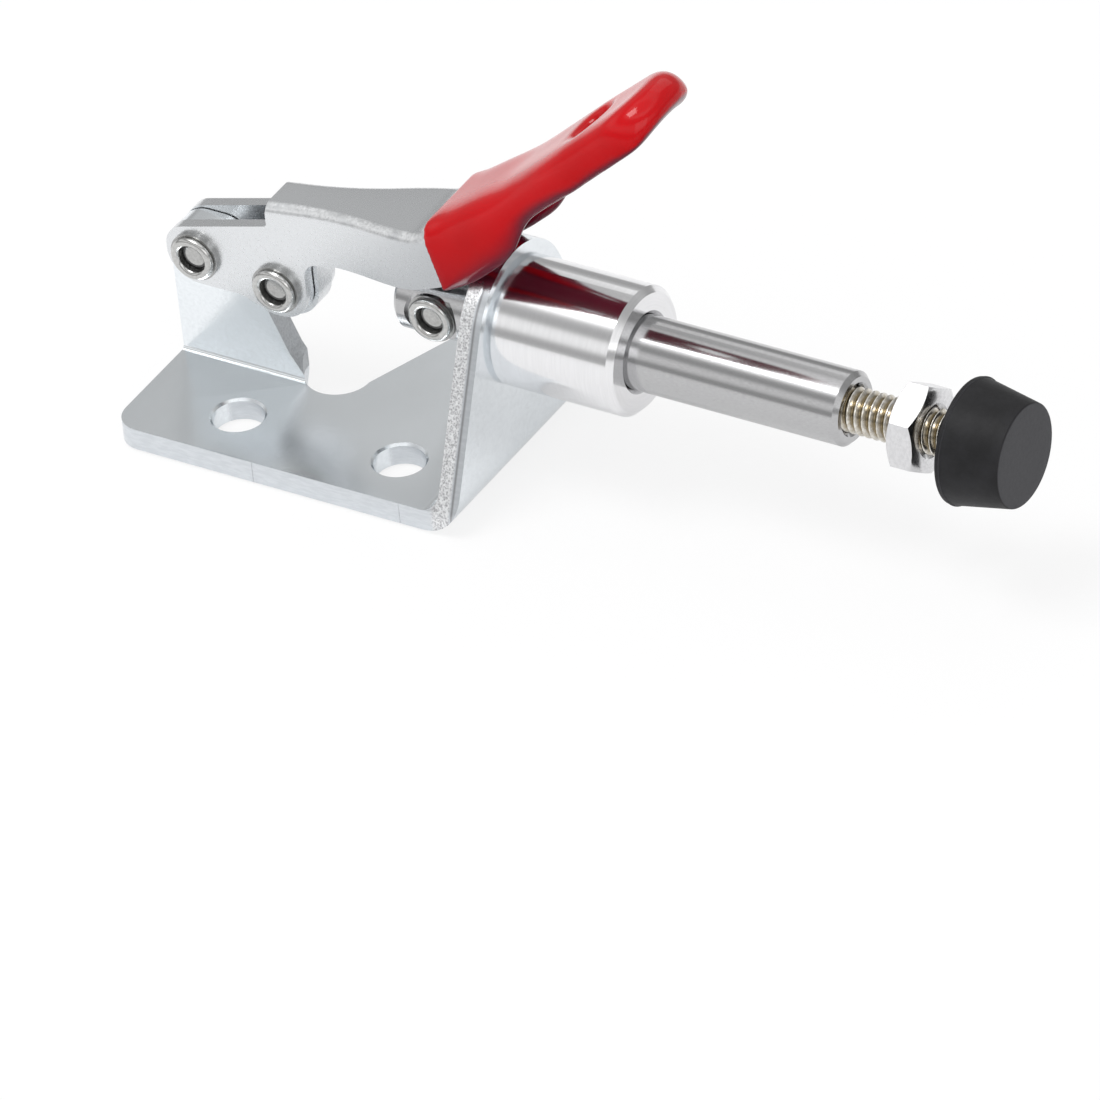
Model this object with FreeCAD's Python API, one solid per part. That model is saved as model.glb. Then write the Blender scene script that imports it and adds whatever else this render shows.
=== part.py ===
import FreeCAD
import Part
import math
import os

from FreeCAD import Vector

# Small straight-line toggle clamp, closed. Millimetres.
# Drawn from the rear edge of the base, under the plunger's axis, on the mounting plane:
# +X runs along the plunger towards the rubber tip, +Z is up, the holes are on the -Y side.
# Every piece is then moved so that the origin lies midway between the two mounting holes.

# Plunger line
axis_height = 13.9
plunger_diameter = 6.35
plunger_rear = 22.9
plunger_front = 65.0
plunger_chamfer = 0.4
running_gap = 0.05          # radial, for whatever turns or slides
set_gap = 0.02              # radial, for whatever is riveted or staked tight

# Folded base
base_sheet = 2.0
base_half_width = 12.55
front_face = 33.5           # outer face of the upturned front plate
front_bend_inside = 1.6
corner_round = 2.4
far_edge_start = 21.2       # where the diagonal far edge meets the far side
notch_centre = (13.9, 1.0)
notch_radius = 2.9
front_plate_top = 6.75      # radius of the front plate's top about the axis
front_plate_foot = 1.9      # height where its sloping sides start
mount_hole = 4.4
mount_hole_break = 0.2
mount_hole_inset = 5.25     # from the near edge to the holes' line
first_hole = 9.2
hole_spacing = 15.6

# Upright that carries the rear pivot
upright_bend_inside = 0.4
upright_foot = 11.9
upright_waist = (10.55, 4.5)
upright_top_front = 5.95
upright_top = 15.5

# Pivots, seen from the side
rear_pivot = (3.3, 13.15)
middle_pivot = (11.05, 12.05)
front_pivot = (26.6, axis_height)

# Pressed handle
handle_sheet = 1.1
side_gap = 0.1              # between the handle's flanges and what they straddle
rear_end_round = 2.85
ear_round = 2.85
arm_rise = 15.8             # slope of the rear arms' upper edge, degrees
web_start = (10.7, 18.1)
web_height = 20.2           # top of the web at its rear edge
web_slope = 8.8
grip_slope = 41.5
bend_point = 28.56          # where web and grip lines would meet
knee_behind = 2.1           # the web bends up this far behind that point
knee_radius = 4.0
crest_ahead = 9.0           # and runs into the grip's line this far ahead of it
crest_radius = 20.0
grip_length = 27.1          # from that point to the nose
grip_half_width = 4.3
nose_half_width = 4.0
nose_corner = 3.4           # radius in plan
boot_run = 13.0             # where the deep boot has run out into the grip
taper_start = 16.0          # along the grip's line, where it narrows towards the nose
grip_depth = 2.1
nose_run = 1.8              # the lower edge rises over this length of the nose
nose_rise = 0.6
ridge_round = 1.0
flare_start = 12.6
flare_end = 30.0
hang_hole_diameter = 4.6
hang_hole_place = 19.2

# Dipped sleeve
skin = 0.7
inner_skin = 0.4
lip = 0.56                  # of the sleeve, below the grip's lower edge
sleeve_top = 27.9           # where the dip line crosses the upper surface
sleeve_lean = 17.0
core_start = 2.0            # how far behind the dip line the ridges stay rounded

# Arched link
link_sheet = 2.0
link_rear_eye = 3.3
link_front_eye = 2.7
arch_top_gap = 0.35         # under the web
arch_height = 3.0
arch_round = 2.6
pin_leaves = 224.0          # directions in which the pin moves out of the eye and back into it
pin_returns = 293.0

# Rivets and washers
rivet_radius = 1.5
rivet_bore = 1.2
rivet_bore_depth = 1.6
rivet_rim_radius = 2.0
rivet_rim = 0.55
rivet_head_radius = 2.45
rivet_head = 0.7
washer_radius = 2.2
washer_sheet = 0.4
plunger_flat = 2.6          # half width across the plunger's riveted end
slot_front = 32.4

# Guide barrel
barrel_diameter = 11.06
barrel_front = 45.2
barrel_chamfer = 0.5
barrel_foot_chamfer = 0.35
spigot_diameter = 8.8
spigot_stand = 0.25
mouth_chamfer = 0.3

# Spindle, lock nut and rubber tip
thread_diameter = 4.0
spindle_tail = 53.0
thread_depth = 17.0
spindle_head_radius = 3.1
spindle_head = 1.5
nut_rear = 69.9
nut_thickness = 2.4
nut_across_flats = 7.0
nut_chamfer_angle = 30.0
nut_countersink = 0.35
nut_turn = 6.0              # of a corner from upright, degrees
tip_rear = 75.4
tip_front = 80.8
tip_rear_radius = 5.42
tip_front_radius = 4.45
tip_edge_round = 0.35

# Reach of the cutting shapes past the part
reach = 15.0
tail = 20.0
far_end = 60.0

LATERAL = Vector(0, 1, 0)
ALONG = Vector(1, 0, 0)
UP = Vector(0, 0, 1)


def side(point, y=0.0):
    """A point of the side view (along, up) at the given Y."""
    return Vector(point[0], y, point[1])


def plan(point, z=0.0):
    """A point of the plan view (along, across) at the given height."""
    return Vector(point[0], point[1], z)


def rounded_wire(corners, place):
    """Closed wire through (x, y, radius) corners, each one rounded by an arc."""
    count = len(corners)
    entries = []
    for index in range(count):
        before = corners[index - 1]
        here = corners[index]
        after = corners[(index + 1) % count]
        centre = Vector(here[0], here[1], 0)
        back = (Vector(before[0], before[1], 0) - centre).normalize()
        ahead = (Vector(after[0], after[1], 0) - centre).normalize()
        if here[2] <= 0:
            entries.append((centre, None, centre))
            continue
        half = back.getAngle(ahead) / 2
        reach = here[2] / math.tan(half)
        middle_way = (back + ahead).normalize()
        arc_middle = centre + middle_way * (here[2] / math.sin(half) - here[2])
        entries.append((centre + back * reach, arc_middle, centre + ahead * reach))
    edges = []
    for index in range(count):
        start, arc_middle, end = [None if p is None else place((p.x, p.y)) for p in entries[index]]
        if arc_middle is not None:
            edges.append(Part.Arc(start, arc_middle, end).toShape())
        following = entries[(index + 1) % count][0]
        following = place((following.x, following.y))
        if end.distanceToPoint(following) > 1e-6:
            edges.append(Part.LineSegment(end, following).toShape())
    return Part.Wire(edges)


def side_plate(corners, y_from, y_to):
    """A flat piece cut to a side-view outline, between two Y values."""
    face = Part.Face(rounded_wire(corners, lambda p: side(p, y_from)))
    return face.extrude(LATERAL * (y_to - y_from))


def plan_plate(corners, z_from, z_to):
    """A flat piece cut to a plan outline, between two heights."""
    face = Part.Face(rounded_wire(corners, lambda p: plan(p, z_from)))
    return face.extrude(UP * (z_to - z_from))


def cross_pin(centre, radius, y_from, y_to):
    """A cylinder along Y at a side-view point."""
    return Part.makeCylinder(radius, y_to - y_from, side(centre, y_from), LATERAL)


def turned(profile, centre_height):
    """A solid turned about the plunger line from (along, radius) points."""
    points = [Vector(x, 0, centre_height + r) for x, r in profile]
    wire = Part.makePolygon(points + [points[0]])
    return Part.Face(wire).revolve(Vector(0, 0, centre_height), ALONG, 360)


def lathe_y(profile, centre):
    """A solid turned about a pivot's axis from (across, radius) points."""
    points = [Vector(centre[0] + r, y, centre[1]) for y, r in profile]
    wire = Part.makePolygon(points + [points[0]])
    return Part.Face(wire).revolve(side(centre), LATERAL, 360)


def quarter_bend(inside, sheet):
    """Cross-section of a right-angled bend, centred on its own axis, below and ahead of it."""
    outside = inside + sheet
    diagonal = math.sqrt(0.5)
    return [(outside, diagonal), (inside, diagonal)]


def bend_solid(centre, inside, sheet, width_from, width_to, place, sweep):
    """The curved part of a fold: a quarter ring swept along the fold line."""
    rings = quarter_bend(inside, sheet)
    outer, diagonal = rings[0]
    inner = rings[1][0]
    down_outer = place((centre[0], centre[1] - outer), width_from)
    side_outer = place((centre[0] + outer, centre[1]), width_from)
    mid_outer = place((centre[0] + outer * diagonal, centre[1] - outer * diagonal), width_from)
    down_inner = place((centre[0], centre[1] - inner), width_from)
    side_inner = place((centre[0] + inner, centre[1]), width_from)
    mid_inner = place((centre[0] + inner * diagonal, centre[1] - inner * diagonal), width_from)
    edges = [
        Part.Arc(down_outer, mid_outer, side_outer).toShape(),
        Part.LineSegment(side_outer, side_inner).toShape(),
        Part.Arc(side_inner, mid_inner, down_inner).toShape(),
        Part.LineSegment(down_inner, down_outer).toShape(),
    ]
    return Part.Face(Part.Wire(edges)).extrude(sweep * (width_to - width_from))


def front_outline():
    """Front plate seen along the plunger: sloping sides tangent to a round top."""
    foot = Vector(0, base_half_width, front_plate_foot)
    centre = Vector(0, 0, axis_height)
    reach = foot.distanceToPoint(centre)
    toward = math.atan2(axis_height - front_plate_foot, base_half_width)
    lean = toward + math.asin(front_plate_top / reach)
    tangent_y = front_plate_top * math.sin(lean)
    tangent_z = axis_height + front_plate_top * math.cos(lean)
    start = front_face - front_bend_inside - base_sheet - 0.001
    left_foot = Vector(start, -base_half_width, front_plate_foot)
    left_top = Vector(start, -tangent_y, tangent_z)
    crown = Vector(start, 0, axis_height + front_plate_top)
    right_top = Vector(start, tangent_y, tangent_z)
    right_foot = Vector(start, base_half_width, front_plate_foot)
    right_low = Vector(start, base_half_width, -1)
    left_low = Vector(start, -base_half_width, -1)
    edges = [
        Part.LineSegment(left_low, left_foot).toShape(),
        Part.LineSegment(left_foot, left_top).toShape(),
        Part.Arc(left_top, crown, right_top).toShape(),
        Part.LineSegment(right_top, right_foot).toShape(),
        Part.LineSegment(right_foot, right_low).toShape(),
        Part.LineSegment(right_low, left_low).toShape(),
    ]
    return Part.Face(Part.Wire(edges)).extrude(ALONG * 20)


def hole_line():
    return -base_half_width + mount_hole_inset


def make_base():
    half = base_sheet / 2
    fold_start = front_face - front_bend_inside - base_sheet
    upright_fold = -half - upright_bend_inside
    flat = plan_plate([
        (0, -base_half_width, corner_round),
        (fold_start, -base_half_width, 0),
        (fold_start, base_half_width, 0),
        (far_edge_start, base_half_width, corner_round),
        (notch_centre[0] + notch_radius, notch_centre[1], 0),
        (upright_foot, notch_centre[1], 0),
        (upright_foot, upright_fold, 0),
        (0, upright_fold, 0),
    ], 0, base_sheet)
    front_fold_centre = (fold_start, front_bend_inside + base_sheet)
    front_fold = bend_solid(front_fold_centre, front_bend_inside, base_sheet, -base_half_width,
                            base_half_width, lambda p, y: Vector(p[0], y, p[1]), LATERAL)
    front_plate = Part.makeBox(base_sheet, 2 * base_half_width, 30,
                               Vector(front_face - base_sheet, -base_half_width, front_fold_centre[1]))
    front = front_fold.fuse(front_plate).common(front_outline())
    upright_fold_centre = (upright_fold, upright_bend_inside + base_sheet)
    upright_bend = bend_solid(upright_fold_centre, upright_bend_inside, base_sheet, 0, upright_foot,
                              lambda p, x: Vector(x, p[0], p[1]), ALONG)
    upright = side_plate([
        (0, upright_fold_centre[1], 0),
        (upright_foot, upright_fold_centre[1], 0),
        (upright_waist[0], upright_waist[1], 2.0),
        (upright_top_front, upright_top, 2.3),
        (0, upright_top, 2.8),
    ], -half, half)
    body = flat.fuse([front, upright_bend, upright])
    notch = Part.makeCylinder(notch_radius, 5.2, plan(notch_centre, -1), UP)
    body = body.cut(notch)
    body = body.cut(cross_pin(rear_pivot, rivet_radius + running_gap, -5, 5))
    for along in (first_hole, first_hole + hole_spacing):
        body = body.cut(Part.makeCylinder(mount_hole / 2, 4, Vector(along, hole_line(), -1), UP))
        body = body.cut(Part.makeCone(mount_hole / 2, mount_hole / 2 + 2 * mount_hole_break,
                                      2 * mount_hole_break,
                                      Vector(along, hole_line(), base_sheet - mount_hole_break), UP))
    spigot_hole = spigot_diameter / 2 + set_gap
    body = body.cut(Part.makeCylinder(spigot_hole, 10, Vector(front_face - 5, 0, axis_height), ALONG))
    return body.removeSplitter()


def make_barrel():
    body_radius = barrel_diameter / 2
    bore = plunger_diameter / 2 + running_gap
    spigot = spigot_diameter / 2
    rear = front_face - base_sheet - spigot_stand
    return turned([
        (rear, bore),
        (rear, spigot - 0.2),
        (rear + 0.2, spigot),
        (front_face, spigot),
        (front_face, body_radius - barrel_foot_chamfer),
        (front_face + barrel_foot_chamfer, body_radius),
        (barrel_front - barrel_chamfer, body_radius),
        (barrel_front, body_radius - barrel_chamfer),
        (barrel_front, bore + mouth_chamfer),
        (barrel_front - mouth_chamfer, bore),
    ], axis_height)


def slope_way(degrees):
    """Unit vector of the side view at a slope."""
    return Vector(math.cos(math.radians(degrees)), math.sin(math.radians(degrees)), 0)


def out_of(way):
    """Square to a direction of the side view, on its upper side."""
    return Vector(-way.y, way.x, 0)


def top_corners(shift):
    """Upper surface of the handle from the side, moved out by shift: rear point, knee, crest, and
    a point past the nose."""
    along_web = slope_way(web_slope)
    along_grip = slope_way(grip_slope)
    rear = Vector(web_start[0], web_height, 0)
    meeting = rear + along_web * ((bend_point - web_start[0]) / along_web.x)
    knee = meeting - along_web * knee_behind
    crest = meeting + along_grip * crest_ahead
    past_nose = meeting + along_grip * (grip_length + tail)
    along_shoulder = (crest - knee).normalize()
    corners = [rear + out_of(along_web) * shift]
    for point, before, after in ((knee, along_web, along_shoulder), (crest, along_shoulder, along_grip)):
        both = out_of(before) + out_of(after)
        corners.append(point + both * (shift / (1 + out_of(before).dot(out_of(after)))))
    corners.append(past_nose + out_of(along_grip) * shift)
    return corners


def grip_point(along, up):
    """A side-view point of the grip, along its line from the bend point and square to it."""
    past_nose = top_corners(0)[3]
    along_grip = slope_way(grip_slope)
    point = past_nose + along_grip * (along - grip_length - tail) + out_of(along_grip) * up
    return (point.x, point.y)


def plan_block(grow):
    """Everything inside the handle's plan outline: the arm's part, upright, and the grip's part,
    square to the grip. They join where the width is constant."""
    rear_half = link_sheet / 2 + side_gap + handle_sheet + grow
    grip_half = grip_half_width + grow
    corner = nose_corner + grow
    middle = ((flare_start + flare_end) / 2, (rear_half + grip_half) / 2)
    rise = (grip_half - rear_half) / 2
    run = (flare_end - flare_start) / 2
    arc_radius = (run * run + rise * rise) / (2 * rise)
    quarter = math.asin(run / arc_radius) / 2
    dip = arc_radius * (1 - math.cos(quarter))
    lead = arc_radius * math.sin(quarter)

    def flare(sign):
        first = Vector(flare_start, sign * rear_half, 0)
        first_mid = Vector(flare_start + lead, sign * (rear_half + dip), 0)
        centre = Vector(middle[0], sign * middle[1], 0)
        last_mid = Vector(flare_end - lead, sign * (grip_half - dip), 0)
        last = Vector(flare_end, sign * grip_half, 0)
        return first, first_mid, centre, last_mid, last

    near = flare(-1)
    far = flare(1)
    rear_near = Vector(-tail, -rear_half, 0)
    rear_far = Vector(-tail, rear_half, 0)
    front_near = Vector(far_end, -grip_half, 0)
    front_far = Vector(far_end, grip_half, 0)
    arm_wire = Part.Wire([
        Part.LineSegment(rear_near, near[0]).toShape(),
        Part.Arc(near[0], near[1], near[2]).toShape(),
        Part.Arc(near[2], near[3], near[4]).toShape(),
        Part.LineSegment(near[4], front_near).toShape(),
        Part.LineSegment(front_near, front_far).toShape(),
        Part.LineSegment(front_far, far[4]).toShape(),
        Part.Arc(far[4], far[3], far[2]).toShape(),
        Part.Arc(far[2], far[1], far[0]).toShape(),
        Part.LineSegment(far[0], rear_far).toShape(),
        Part.LineSegment(rear_far, rear_near).toShape(),
    ])
    arm = Part.Face(arm_wire).extrude(UP * far_end)

    nose_half = nose_half_width + grow
    nose_tip = grip_length + grow
    grip_way = slope_way(grip_slope)
    u_axis = side((grip_way.x, grip_way.y))
    n_axis = side((-grip_way.y, grip_way.x))
    origin = side(grip_point(0, 0))

    def on_grip(u, v):
        return origin + u_axis * u + LATERAL * v - n_axis * far_end

    outline = [(-far_end, grip_half), (taper_start, grip_half), (nose_tip - corner, nose_half)]
    edges = [Part.LineSegment(on_grip(-far_end, grip_half), on_grip(-far_end, -grip_half)).toShape(),
             Part.LineSegment(on_grip(nose_tip, nose_half - corner), on_grip(nose_tip, corner - nose_half)).toShape()]
    for sign in (-1, 1):
        centre = (nose_tip - corner, nose_half - corner)
        diagonal = corner * math.sqrt(0.5)
        edges.append(Part.Arc(on_grip(centre[0], sign * nose_half),
                              on_grip(centre[0] + diagonal, sign * (centre[1] + diagonal)),
                              on_grip(nose_tip, sign * centre[1])).toShape())
    for first, second in zip(outline, outline[1:]):
        for sign in (-1, 1):
            edges.append(Part.LineSegment(on_grip(first[0], sign * first[1]),
                                          on_grip(second[0], sign * second[1])).toShape())
    grip_wire = Part.Wire(Part.__sortEdges__(edges))
    grip = Part.Face(grip_wire).extrude(n_axis * 2 * far_end)

    rear_point, knee, crest, past_nose = top_corners(0)
    shoulder_slope = math.degrees(math.atan2(crest.y - knee.y, crest.x - knee.x))
    divide = FreeCAD.Placement(side((crest.x, crest.y)),
                               FreeCAD.Rotation(LATERAL, -(shoulder_slope + grip_slope) / 2))
    behind = Part.makeBox(2 * far_end, far_end, 4 * far_end, Vector(-2 * far_end, -far_end / 2, -2 * far_end))
    behind.Placement = divide
    ahead = Part.makeBox(2 * far_end, far_end, 4 * far_end, Vector(0, -far_end / 2, -2 * far_end))
    ahead.Placement = divide
    return arm.common(behind).fuse(grip.common(ahead)).removeSplitter()


def under_top(shift, rear):
    """The region under the handle's upper surface, moved by shift."""
    start, knee, crest, past_nose = top_corners(shift)
    back = start - slope_way(web_slope) * rear
    return side_plate([
        (back.x, back.y, 0),
        (knee.x, knee.y, knee_radius - shift),
        (crest.x, crest.y, crest_radius - shift),
        (past_nose.x, past_nose.y, 0),
        (past_nose.x, 0, 0),
        (back.x, 0, 0),
    ], -reach, reach)


def ridge_edges(shape, nose_x):
    """Edges along both sides of the upper surface and round the nose, which reaches nose_x."""
    found = []
    for face in shape.Faces:
        u_from, u_to, v_from, v_to = face.ParameterRange
        normals = [face.normalAt(u, v) for u in (u_from, u_to) for v in (v_from, v_to)]
        if any(abs(normal.y) > 1e-6 or normal.x > 0 or normal.z < 0.5 for normal in normals):
            continue
        for edge in face.Edges:
            ends = [vertex.Point for vertex in edge.Vertexes]
            straight_across = len(ends) == 2 and abs(edge.Length - abs(ends[0].y - ends[1].y)) < 1e-6
            if not straight_across or ends[0].x > nose_x - 0.01:
                found.append(edge)
    return found


def envelope(grow):
    """The outside of the handle, or of its sleeve, above the lower edge, with the ridges rounded."""
    block = under_top(grow, tail).common(plan_block(grow)).removeSplitter()
    nose_x = grip_point(grip_length + grow, grow)[0]
    return block.makeFillet(ridge_round + grow, ridge_edges(block, nose_x))


def square_core():
    """The handle's outside where the sleeve hides it: ridges and nose left square-edged."""
    block = under_top(0, tail).common(plan_block(0)).removeSplitter()
    return block.common(dip_region(core_start))


def dip_region(ahead):
    """The space in front of the dip line, or of a line parallel to it further along the web."""
    box = Part.makeBox(far_end, far_end, 2 * far_end, Vector(0, -far_end / 2, -far_end))
    rear_point, knee, crest, past_nose = top_corners(0)
    level = knee.y + (sleeve_top - knee.x) * (crest.y - knee.y) / (crest.x - knee.x)
    box.Placement = FreeCAD.Placement(Vector(sleeve_top + ahead, 0, level),
                                      FreeCAD.Rotation(LATERAL, -sleeve_lean))
    return box


def handle_outline():
    """Side-view outline: rear arms, ear and lower edge true, the top left open above the web."""
    arm_way = math.radians(arm_rise)
    arm_top_rear = web_start[1] - (web_start[0] - (rear_pivot[0] - rear_end_round)) * math.tan(arm_way)
    grip_knee = grip_point(boot_run, -grip_depth)
    nose_knee = grip_point(grip_length - nose_run, -grip_depth)
    nose_low = grip_point(grip_length + 2 * nose_run, -grip_depth + 3 * nose_rise)
    return side_plate([
        (rear_pivot[0] - rear_end_round, rear_pivot[1] - rear_end_round, rear_end_round - 0.05),
        (7.6, rear_pivot[1] - rear_end_round, 3.0),
        (10.2, middle_pivot[1] - ear_round, 2.0),
        (middle_pivot[0] + ear_round, middle_pivot[1] - ear_round, ear_round - 0.05),
        (middle_pivot[0] + ear_round, 15.1, 1.7),
        (17.5, 16.1, 6.0),
        (25.3, 17.0, 10.0),
        (30.2, 19.1, 10.0),
        (35.4, 24.3, 2.2),
        (grip_knee[0], grip_knee[1], 3.0),
        (nose_knee[0], nose_knee[1], 3.0),
        (nose_low[0], nose_low[1], 0),
        (nose_low[0], far_end, 0),
        (web_start[0], far_end, 0),
        (web_start[0], web_start[1], 0.3),
        (rear_pivot[0] - rear_end_round, arm_top_rear, 2.3),
    ], -reach, reach)


def hang_hole(radius):
    """Round hole through the grip's web, square to the grip."""
    up = out_of(slope_way(grip_slope))
    foot = grip_point(hang_hole_place, -grip_half_width)
    return Part.makeCylinder(radius, 2 * grip_half_width, side(foot), side((up.x, up.y)))


def make_handle():
    outside = envelope(0).cut(dip_region(core_start)).fuse(square_core())
    inside = under_top(-handle_sheet, tail + 5).common(plan_block(-handle_sheet)).removeSplitter()
    body = outside.common(handle_outline()).cut(inside)
    for pivot in (rear_pivot, middle_pivot):
        body = body.cut(cross_pin(pivot, rivet_radius + set_gap, -5, 5))
    return body.cut(hang_hole(hang_hole_diameter / 2))


def make_link():
    start = top_corners(-handle_sheet - arch_top_gap)[0]

    def under_web(x):
        return start.y + (x - start.x) * math.tan(math.radians(web_slope))

    rear = middle_pivot[0]
    front = front_pivot[0]
    top_rear = (rear + 0.4, under_web(rear + 0.4))
    top_front = (front - 1.0, under_web(rear + 0.4) + 0.8)
    foot_front = middle_pivot[0] + link_rear_eye
    body = side_plate([
        (rear - link_rear_eye, middle_pivot[1] - link_rear_eye, link_rear_eye - 0.02),
        (foot_front, middle_pivot[1] - link_rear_eye, link_rear_eye - 0.02),
        (foot_front, top_rear[1] - arch_height, 1.6),
        (front - link_front_eye, top_front[1] - arch_height, 1.6),
        (front - link_front_eye, front_pivot[1] - link_front_eye, link_front_eye - 0.02),
        (front + link_front_eye, front_pivot[1] - link_front_eye, link_front_eye - 0.02),
        (front + link_front_eye, front_pivot[1] + 1.6, 2.5),
        (top_front[0], top_front[1], arch_round),
        (top_rear[0], top_rear[1], arch_round),
        (rear - link_rear_eye, middle_pivot[1] + 1.2, 2.5),
    ], -link_sheet / 2, link_sheet / 2)
    body = body.cut(cross_pin(middle_pivot, rivet_radius + running_gap, -5, 5))
    body = body.cut(cross_pin(front_pivot, rivet_radius + running_gap, -5, 5))
    return body.cut(pin_clearance())


def pin_clearance():
    """Room under the front eye for the pin, which leaves it and comes back as the link swings."""
    around = rivet_radius + 2 * running_gap
    rear_way = math.radians(pin_leaves)
    front_way = math.radians(pin_returns)
    far = 6.0
    rear_side = (front_pivot[0] + around * math.sin(rear_way), front_pivot[1] - around * math.cos(rear_way))
    front_side = (front_pivot[0] - around * math.sin(front_way), front_pivot[1] + around * math.cos(front_way))
    return side_plate([
        (rear_side[0], rear_side[1], 0),
        (rear_side[0] + far * math.cos(rear_way), rear_side[1] + far * math.sin(rear_way), 0),
        (front_side[0] + far * math.cos(front_way), front_side[1] + far * math.sin(front_way), 0),
        (front_side[0], front_side[1], 0),
    ], -link_sheet, link_sheet)


def make_sleeve():
    outside = envelope(skin).common(sleeve_outline())
    inside = under_top(-handle_sheet - inner_skin, tail + 5)
    inside = inside.common(plan_block(-handle_sheet - inner_skin)).removeSplitter()
    body = outside.cut(inside).common(dip_region(0))
    body = body.cut(make_handle())
    over_plate = Part.makeCylinder(front_plate_top + side_gap, base_sheet + 2 * side_gap,
                                   Vector(front_face - base_sheet - side_gap, 0, axis_height), ALONG)
    body = body.cut(over_plate)
    return body.cut(hang_hole(hang_hole_diameter / 2 - skin / 2))


def sleeve_outline():
    """The sleeve's lower edge: a thick lip round the boot, an even one along the grip."""
    grip_knee = grip_point(boot_run, -grip_depth - lip)
    nose_knee = grip_point(grip_length - nose_run, -grip_depth - lip)
    nose_low = grip_point(grip_length + 2 * nose_run, -grip_depth - lip + 3 * nose_rise)
    return side_plate([
        (20.0, 17.0, 0),
        (31.3, 18.95, 4.0),
        (36.0, 23.25, 7.0),
        (37.85, 27.3, 4.0),
        (grip_knee[0] + 0.1, grip_knee[1], 3.0),
        (nose_knee[0], nose_knee[1], 3.0),
        (nose_low[0], nose_low[1], 0),
        (nose_low[0], far_end, 0),
        (20.0, far_end, 0),
    ], -reach, reach)


def make_plunger():
    radius = plunger_diameter / 2
    hole = thread_diameter / 2
    body = turned([
        (plunger_rear, 0),
        (plunger_rear, radius - plunger_chamfer),
        (plunger_rear + plunger_chamfer, radius),
        (plunger_front - plunger_chamfer, radius),
        (plunger_front, radius - plunger_chamfer),
        (plunger_front, hole + 0.3),
        (plunger_front - 0.3, hole),
        (plunger_front - thread_depth, hole),
        (plunger_front - thread_depth - 1.0, 0),
    ], axis_height)
    slot_half = link_sheet / 2 + side_gap
    slot = Part.makeBox(slot_front - plunger_rear + 5, 2 * slot_half, 20,
                        Vector(plunger_rear - 5, -slot_half, axis_height - 10))
    body = body.cut(slot)
    for sign in (-1, 1):
        seat = cross_pin(front_pivot, washer_radius + 0.3, plunger_flat, 10)
        if sign < 0:
            seat = cross_pin(front_pivot, washer_radius + 0.3, -10, -plunger_flat)
        body = body.cut(seat)
    return body.cut(cross_pin(front_pivot, rivet_radius + set_gap, -5, 5))


def make_rivet(pivot, grip_half):
    """Semi-tubular rivet: rolled hollow rim on the near side, low head on the far side."""
    rim_inner = -grip_half - washer_sheet
    rim_outer = rim_inner - rivet_rim
    head_inner = grip_half
    head_outer = grip_half + rivet_head
    corner = 0.18
    return lathe_y([
        (rim_outer + rivet_bore_depth, 0),
        (rim_outer + rivet_bore_depth, rivet_bore),
        (rim_outer + corner, rivet_bore),
        (rim_outer, (rivet_bore + rivet_rim_radius) / 2),
        (rim_outer + corner, rivet_rim_radius),
        (rim_inner, rivet_rim_radius),
        (rim_inner, rivet_radius),
        (head_inner, rivet_radius),
        (head_inner, rivet_head_radius),
        (head_outer, rivet_head_radius - 0.7),
        (head_outer, 0),
    ], pivot)


def make_washer(pivot, grip_half):
    return lathe_y([
        (-grip_half - washer_sheet, rivet_radius + set_gap),
        (-grip_half - washer_sheet, washer_radius),
        (-grip_half, washer_radius),
        (-grip_half, rivet_radius + set_gap),
    ], pivot)


def make_spindle():
    shank = thread_diameter / 2 - running_gap
    head_rear = tip_rear + 1.6
    return turned([
        (spindle_tail, 0),
        (spindle_tail, shank - 0.5),
        (spindle_tail + 0.5, shank),
        (head_rear, shank),
        (head_rear, spindle_head_radius),
        (head_rear + spindle_head, spindle_head_radius),
        (head_rear + spindle_head, 0),
    ], axis_height)


def make_nut():
    corner = nut_across_flats / 2 / math.cos(math.radians(30))
    points = []
    for index in range(7):
        turn = math.radians(60 * index + nut_turn)
        points.append(Vector(nut_rear, corner * math.sin(turn), axis_height + corner * math.cos(turn)))
    body = Part.Face(Part.makePolygon(points)).extrude(ALONG * nut_thickness)
    flat = nut_across_flats / 2
    rise = (corner - flat) * math.tan(math.radians(nut_chamfer_angle))
    front = nut_rear + nut_thickness
    bevel = turned([
        (nut_rear, 0),
        (nut_rear, flat),
        (nut_rear + rise + 0.1, corner + 0.1 / math.tan(math.radians(nut_chamfer_angle))),
        (front - rise - 0.1, corner + 0.1 / math.tan(math.radians(nut_chamfer_angle))),
        (front, flat),
        (front, 0),
    ], axis_height)
    body = body.common(bevel)
    hole = thread_diameter / 2
    bore = turned([
        (nut_rear, 0),
        (nut_rear, hole),
        (front - nut_countersink, hole),
        (front, hole + nut_countersink),
        (front, 0),
    ], axis_height)
    return body.cut(bore)


def make_tip():
    shank = thread_diameter / 2
    head_rear = tip_rear + 1.6
    soft = tip_edge_round
    lean = (tip_rear_radius - tip_front_radius) / (tip_front - tip_rear)
    body = turned([
        (tip_rear, shank),
        (tip_rear, tip_rear_radius - soft),
        (tip_rear + soft, tip_rear_radius - soft * lean),
        (tip_front - soft, tip_front_radius + soft * lean),
        (tip_front, tip_front_radius - soft),
        (tip_front, 0),
        (head_rear + spindle_head, 0),
        (head_rear + spindle_head, spindle_head_radius),
        (head_rear, spindle_head_radius),
        (head_rear, shank),
    ], axis_height)
    return body


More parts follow.
